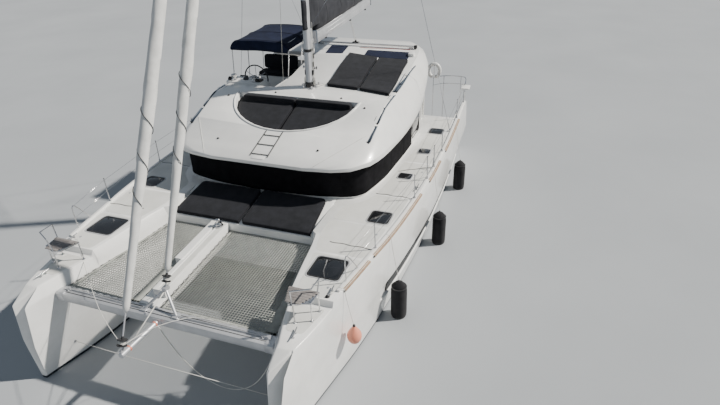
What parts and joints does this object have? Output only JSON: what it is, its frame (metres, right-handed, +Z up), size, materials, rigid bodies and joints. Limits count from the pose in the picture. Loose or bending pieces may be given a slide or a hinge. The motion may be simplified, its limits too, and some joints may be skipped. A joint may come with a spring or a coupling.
{
  "type": "sailing catamaran",
  "caption": "Cruising sailing catamaran afloat: twin decked hulls, hollow saloon, trampolines, mast with boom, furled sails, helm, rudders and propellers.",
  "frame": {"origin": "amidships on the centre line at the waterline, which is the mount water", "axes": "+X to the bows, +Y to port, +Z up along the mast"},
  "size_m": [14.1933, 8.1065, 21.3],
  "materials": {
    "gelcoat": "white gelcoat with light grey non-skid decks",
    "alloy": "anodised",
    "steel": "polished stainless",
    "charcoal_fabric": "woven outdoor cloth",
    "bag_fabric": "woven sail bag cloth",
    "cover_fabric": "coated mesh cover",
    "navy_fabric": "woven canopy cloth",
    "sailcloth": "rolled sailcloth",
    "netting": "knotted polyester net",
    "smoked_glass": "smoked acrylic",
    "teak": "oiled",
    "engine_paint": "satin",
    "bronze": "satin",
    "antifoul": "matt bottom paint",
    "fender_cover": "black knitted fender cover",
    "buoy_vinyl": "inflated vinyl"
  },
  "bodies": {
    "root": {"hull_port": "gelcoat", "hull_starboard": "gelcoat", "bridgedeck": "gelcoat", "cabin_wall": "gelcoat", "cabin_glass": "smoked_glass", "window_cover": "cover_fabric", "coachroof": "gelcoat", "aft_bulkhead": "gelcoat", "helm_station": "gelcoat", "helm_seat": "charcoal_fabric", "bimini_frame": "steel", "bimini_top": "navy_fabric", "crossbeam": "alloy", "longeron": "gelcoat", "trampoline_port": "netting", "trampoline_starboard": "netting", "bowsprit": "alloy", "striker": "alloy", "mast": "alloy", "shrouds": "steel", "genoa_roll": "sailcloth", "code_sail_roll": "sailcloth", "fore_pad_port": "charcoal_fabric", "fore_pad_starboard": "charcoal_fabric", "lounge_pad_port": "charcoal_fabric", "lounge_pad_starboard": "charcoal_fabric", "roof_pad_port": "charcoal_fabric", "roof_pad_starboard": "charcoal_fabric", "traveller": "alloy", "side_rail_port": "alloy", "side_rail_starboard": "alloy", "pulpit_seat_port": "steel", "pulpit_seat_starboard": "steel", "cockpit_seats": "charcoal_fabric", "cockpit_table": "teak", "saloon_furniture": "teak", "engine_port": "engine_paint", "engine_starboard": "engine_paint", "saildrive_port": "alloy", "saildrive_starboard": "alloy", "fender_fore": "fender_cover", "fender_mid": "fender_cover", "fender_aft": "fender_cover", "fender_buoy": "buoy_vinyl"},
    "boom": {"boom": "alloy", "sail_bag": "bag_fabric"},
    "saloon_door": {"saloon_door": "smoked_glass"},
    "helm_wheel": {"helm_wheel": "steel"},
    "hatch_fore_port": {"hatch_fore_port": "smoked_glass"},
    "hatch_mid_port": {"hatch_mid_port": "smoked_glass"},
    "hatch_aft_port": {"hatch_aft_port": "smoked_glass"},
    "engine_hatch_port": {"engine_hatch_port": "gelcoat"},
    "rudder_port": {"rudder_port": "antifoul"},
    "propeller_port": {"propeller_port": "bronze"},
    "hatch_fore_starboard": {"hatch_fore_starboard": "smoked_glass"},
    "hatch_mid_starboard": {"hatch_mid_starboard": "smoked_glass"},
    "hatch_aft_starboard": {"hatch_aft_starboard": "smoked_glass"},
    "engine_hatch_starboard": {"engine_hatch_starboard": "gelcoat"},
    "rudder_starboard": {"rudder_starboard": "antifoul"},
    "propeller_starboard": {"propeller_starboard": "bronze"}
  },
  "joints": [
    {"name": "boom_swing", "type": "hinge", "parent": "root", "child": "boom", "pos_m": [-1.64, 0, 5.11], "axis": [0, 0, 1], "range_deg": [-60, 60]},
    {"name": "saloon_door_slide", "type": "slide", "parent": "root", "child": "saloon_door", "axis": [0, 1, 0], "range_m": [0, 0.9]},
    {"name": "hatch_fore_port_lid", "type": "hinge", "parent": "root", "child": "hatch_fore_port", "pos_m": [4.68, 2.735, 2.158], "axis": [0, 1, 0], "range_deg": [0, 85]},
    {"name": "hatch_mid_port_lid", "type": "hinge", "parent": "root", "child": "hatch_mid_port", "pos_m": [2.46, 3.15, 2.158], "axis": [0, 1, 0], "range_deg": [0, 85]},
    {"name": "hatch_aft_port_lid", "type": "hinge", "parent": "root", "child": "hatch_aft_port", "pos_m": [-2.95, 3.3, 2.158], "axis": [0, 1, 0], "range_deg": [0, 85]},
    {"name": "engine_hatch_port_lid", "type": "hinge", "parent": "root", "child": "engine_hatch_port", "pos_m": [-4.88, 2.94, 1.458], "axis": [0, 1, 0], "range_deg": [0, 80]},
    {"name": "rudder_port_steer", "type": "hinge", "parent": "root", "child": "rudder_port", "pos_m": [-5.95, 2.89, -0.3], "axis": [0, 0, 1], "range_deg": [-35, 35]},
    {"name": "propeller_port_spin", "type": "hinge", "parent": "root", "child": "propeller_port", "pos_m": [-5.3, 2.89, -0.64], "axis": [1, 0, 0], "continuous": true},
    {"name": "hatch_fore_starboard_lid", "type": "hinge", "parent": "root", "child": "hatch_fore_starboard", "pos_m": [4.68, -2.735, 2.158], "axis": [0, 1, 0], "range_deg": [0, 85]},
    {"name": "hatch_mid_starboard_lid", "type": "hinge", "parent": "root", "child": "hatch_mid_starboard", "pos_m": [2.46, -3.15, 2.158], "axis": [0, 1, 0], "range_deg": [0, 85]},
    {"name": "hatch_aft_starboard_lid", "type": "hinge", "parent": "root", "child": "hatch_aft_starboard", "pos_m": [-2.95, -3.3, 2.158], "axis": [0, 1, 0], "range_deg": [0, 85]},
    {"name": "engine_hatch_starboard_lid", "type": "hinge", "parent": "root", "child": "engine_hatch_starboard", "pos_m": [-4.88, -2.94, 1.458], "axis": [0, 1, 0], "range_deg": [0, 80]},
    {"name": "rudder_starboard_steer", "type": "hinge", "parent": "root", "child": "rudder_starboard", "pos_m": [-5.95, -2.89, -0.3], "axis": [0, 0, 1], "range_deg": [-35, 35]},
    {"name": "propeller_starboard_spin", "type": "hinge", "parent": "root", "child": "propeller_starboard", "pos_m": [-5.3, -2.89, -0.64], "axis": [1, 0, 0], "continuous": true},
    {"name": "helm_wheel_turn", "type": "hinge", "parent": "root", "child": "helm_wheel", "pos_m": [-1.96, -2.1, 3.79], "axis": [1, 0, 0], "range_deg": [-350, 350]}
  ],
  "couplings": [
    {"joint": "rudder_starboard_steer", "follows": "rudder_port_steer", "ratio": 1},
    {"joint": "helm_wheel_turn", "follows": "rudder_port_steer", "ratio": 10}
  ]
}
